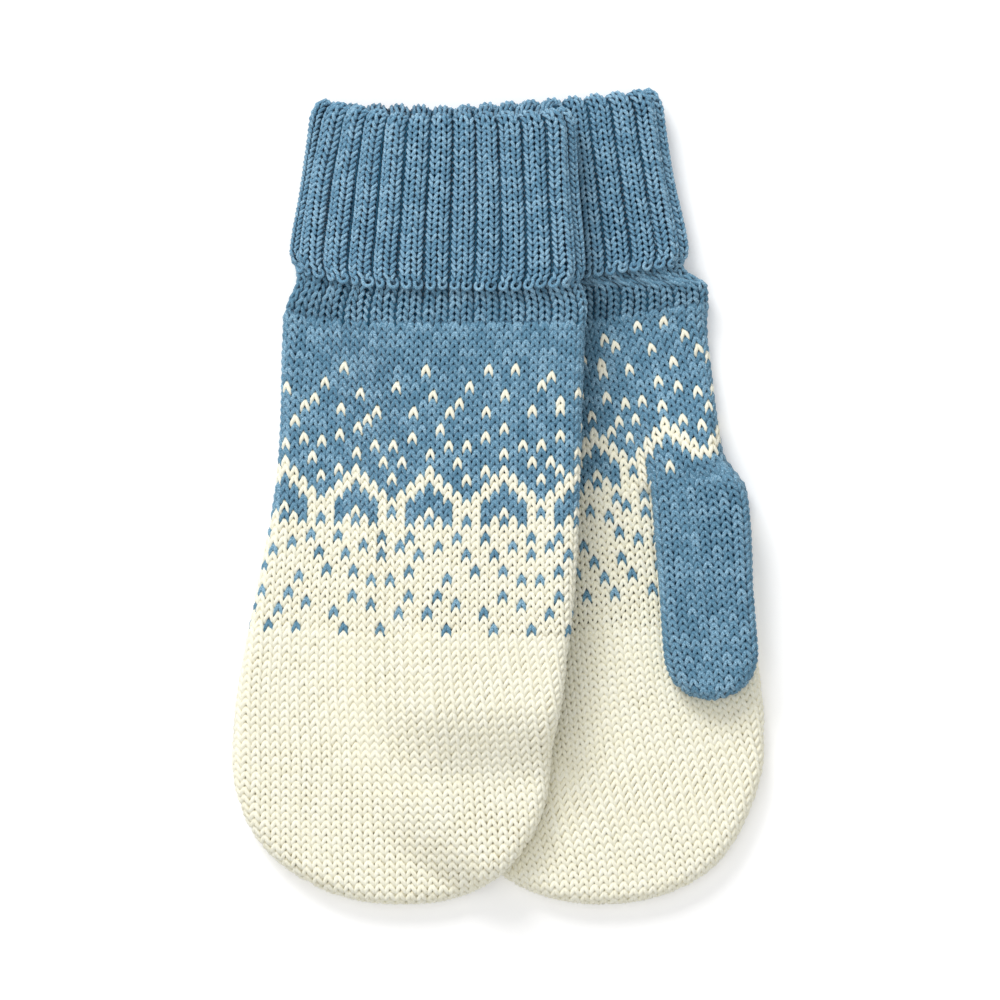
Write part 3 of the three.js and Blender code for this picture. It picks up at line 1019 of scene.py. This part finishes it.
def rib_stitches(face, side, start, end, pitch, offsets, share):
    """Stitches at offsets from the middles of the ribs of a face. Ribs stand on both its edges."""
    rows = round((end - start) / pitch)
    pitch = (end - start) / rows
    first = 1 - RIBS // 2 if side > 0 else -RIBS // 2
    ribs = first + np.arange(RIBS)
    row, rib, offset = np.meshgrid(np.arange(rows), ribs, offsets, indexing="ij")
    along = start + (row + 0.5) * pitch
    place = (rib + offset) * 2 / RIBS
    width = face.reach(along) * 2 / RIBS * share
    return cells(place, along, width, pitch)


def rib_wave(place, along):
    """Flat on the knit columns, with a narrow groove between them."""
    groove = (1 - np.cos(place * RIBS * math.pi)) / 2
    return RIB_RISE * (1 - 2 * groove**3)


def wrist_wave(place, along):
    return rib_wave(place, along) * ramp(WRIST_START, WRIST_START + WRIST_FADE, along)


def make_ribs(name, face, side, start, end, head, lift, detail, material, ribs, owner, seed):
    """The knit columns and the purl columns of one ribbed face."""
    look = (material, "blue_rib")
    offsets = (-ribs.offset, ribs.offset)
    knit = rib_stitches(face, side, start, end, ribs.pitch, offsets, ribs.share)
    knit_piece(
        f"{name}_knit",
        face,
        knit,
        head,
        lift,
        detail,
        look,
        owner,
        seed,
        ribs.radius,
        jitter=RIB_JITTER,
        bulge=RIB_BULGE,
    )
    purl = rib_stitches(face, side, start, end, ribs.pitch, (0.5,), PURL_SHARE)
    # The sunken purl columns take the darker yarn of painted shade.
    look = (GROOVE_SHADE, "blue_rib")

    def sunk(place, along):
        return lift(place, along) - PURL_DEPTH

    detail = DETAIL[-1]
    name = f"{name}_purl"
    knit_piece(name, face, purl, head, sunk, detail, look, owner, seed + 1, PURL_RADIUS)


def make_wrist(mitten):
    owner = (f"{mitten.side}_mitten", f"{mitten.side}_wrist_rib")
    start = WRIST_START + mitten.row_shift - WRIST_OVERLAP
    end = mitten.rim + mitten.rims[1] - LIP_LENGTH
    for side, label in FACES.items():
        face = tube_face(mitten, side)
        seed = seed_of(mitten, "wrist", side)
        name = f"{mitten.side}_wrist_{label}"
        make_ribs(
            name,
            face,
            side,
            start,
            end,
            -1,
            wrist_wave,
            WRIST_DETAIL,
            BLUE,
            WRIST_RIBS,
            owner,
            seed,
        )
        lining = shade_lining_mesh(f"{name}_lining", face, start, end, LINING_LIFT.wrist, RIB_EDGE)
        new_piece(f"{name}_lining", lining, BLUE_SHADE_LINING, *owner, "blue_rib")


# The loops along the hem: how far round each one goes, half its width as a share, where its
# middle lies, how far it drops, how far it stands out, and its yarn.
HEM = SimpleNamespace(
    turn=2.7,
    half=0.3,
    along=0.3,
    drop=1.45,
    out=0.9,
    radius=0.6,
    jitter=0.05,
    sides=6,
    steps=12,
)


def hem_path(steps):
    """A cast-on loop that hangs below the hem as a wide U."""
    turn = np.linspace(-HEM.turn, HEM.turn, steps + 1)
    return HEM.half * np.sin(turn), -np.cos(turn), HEM.out * np.cos(turn / 2)


def make_turn_up(mitten):
    owner = (f"{mitten.side}_cuff", f"{mitten.side}_turn_up")
    for side, label in FACES.items():
        face = turn_up_face(mitten, side)
        seed = seed_of(mitten, "cuff", side)
        name = f"{mitten.side}_cuff_{label}"
        make_ribs(
            name,
            face,
            side,
            CUFF_START,
            face.end,
            1,
            rib_wave,
            DETAIL[side],
            RIB,
            CUFF_RIBS,
            owner,
            seed,
        )
        start = CUFF_LINING_START
        lining = shade_lining_mesh(f"{name}_lining", face, start, face.end, LINING_LIFT.cuff, RIB_EDGE)
        new_piece(f"{name}_lining", lining, BLUE_SHADE_LINING, *owner, "blue_rib")
        loops = 2 * RIBS
        place = (np.arange(loops) + 0.5) * 2 / loops - 1
        width = face.reach(np.zeros(1)) * 2 / loops
        hem = cells(place, HEM.along, width, 2 * HEM.drop / YARN.height)
        path = hem_path(HEM.steps)
        strands = run_yarn(face, hem, path, 1, rib_wave, seed + 5, HEM.jitter)
        mesh = yarn_mesh(f"{name}_hem", strands, HEM.radius, HEM.sides, seed + 6)
        new_piece(f"{name}_hem", mesh, RIB, *owner, "blue_rib")


# The thumb's stitches reach THUMB_SPILL over its edges. THUMB_LINING is how far its lining stays
# from the root and the tip.
THUMB_COLUMNS = 10
THUMB_PITCH = 2.5
THUMB_RADIUS = 0.66
THUMB_SPILL = 0.9
THUMB_LINING = SimpleNamespace(start=0.5, stop=1.0)
BEND = SimpleNamespace(before=3.0, after=14.0)


def make_thumb(mitten):
    body = f"{mitten.side}_thumb"
    owner = (None, body)
    rows = round(THUMB.length / THUMB_PITCH)
    row, column = np.meshgrid(np.arange(rows), np.arange(THUMB_COLUMNS), indexing="ij")
    along = (row + 0.5) * THUMB_PITCH
    place = (column + 0.5) * 2 / THUMB_COLUMNS - 1
    for side, label in FACES.items():
        face = thumb_face(mitten, side)
        seed = seed_of(mitten, "thumb", side)
        stitches = cells(place, along, face.reach(along) * 2 / THUMB_COLUMNS, THUMB_PITCH)
        stitches = pick(stitches, face.inside(stitches.place, stitches.along) > -THUMB_SPILL)
        name = f"{mitten.side}_thumb_{label}"
        look = (BLUE, "blue_yarn")
        detail = DETAIL[side]
        knitting = knit_piece(
            name,
            face,
            stitches,
            1,
            no_lift,
            detail,
            look,
            owner,
            seed,
            THUMB_RADIUS,
        )
        stop = THUMB.length - THUMB_LINING.stop
        lining = shade_lining_mesh(f"{name}_lining", face, THUMB_LINING.start, stop, LINING_LIFT.thumb)
        backing = new_piece(f"{name}_lining", lining, BLUE_SHADE_LINING, *owner, "blue_yarn")
        for soft in (knitting, backing):
            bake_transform(soft)


for pair_member in (LEFT, RIGHT):
    make_hand(pair_member)
    make_wrist(pair_member)
    make_turn_up(pair_member)
    make_thumb(pair_member)


# Camera, floor and light. The view is VIEW_WIDTH wide at VIEW_LEVEL above the floor.
VIEW_WIDTH = 325.0
VIEW_LEVEL = 20.0
CAMERA_HEIGHT = 2600.0
CAMERA_AIM = (0.5, -1.1)
SENSOR = 36.0

scene = bpy.context.scene
camera_data = bpy.data.cameras.new("camera")
camera_data.sensor_width = SENSOR
camera_data.lens = SENSOR * (CAMERA_HEIGHT - VIEW_LEVEL) / VIEW_WIDTH
camera_data.clip_end = 50
camera = bpy.data.objects.new("camera", camera_data)
camera.location = (CAMERA_AIM[0] * MM, CAMERA_AIM[1] * MM, CAMERA_HEIGHT * MM)
scene.collection.objects.link(camera)
scene.camera = camera


def make_floor():
    """A white floor with a little light of its own, so that its shadows stay light."""
    mesh = bpy.data.meshes.new("floor")
    edge = 4.0
    square = [(-edge, -edge, 0), (edge, -edge, 0), (edge, edge, 0), (-edge, edge, 0)]
    mesh.from_pydata(square, [], [(0, 1, 2, 3)])
    floor = bpy.data.objects.new("floor", mesh)
    scene.collection.objects.link(floor)
    material = bpy.data.materials.new("floor")
    make = node_maker(material)
    shader = make(
        "ShaderNodeBsdfPrincipled",
        Base_Color=(0.9, 0.9, 0.9, 1),
        Roughness=1.0,
        Specular_IOR_Level=0.0,
        Emission_Color=(1, 1, 1, 1),
        Emission_Strength=0.19,
    )
    make("ShaderNodeOutputMaterial", {"Surface": shader.outputs[0]})
    mesh.materials.append(material)


def make_light(name, place, size, power):
    """A square soft light that faces the middle of the floor."""
    data = bpy.data.lights.new(name, "AREA")
    data.shape = "SQUARE"
    data.size = size
    data.energy = power
    light = bpy.data.objects.new(name, data)
    light.location = place
    light.rotation_euler = (-Vector(place)).to_track_quat("-Z", "Y").to_euler()
    scene.collection.objects.link(light)


make_floor()
make_light("key", (-1.2, 2.6, 2.2), 1.4, 80.0)
make_light("top", (-0.3, 0.1, 2.4), 1.6, 16.0)

world = bpy.data.worlds.new("world")
scene.world = world
world.use_nodes = True
world.node_tree.nodes["Background"].inputs["Color"].default_value = (1, 1, 1, 1)
world.node_tree.nodes["Background"].inputs["Strength"].default_value = 0.5
scene.view_settings.view_transform = "Standard"
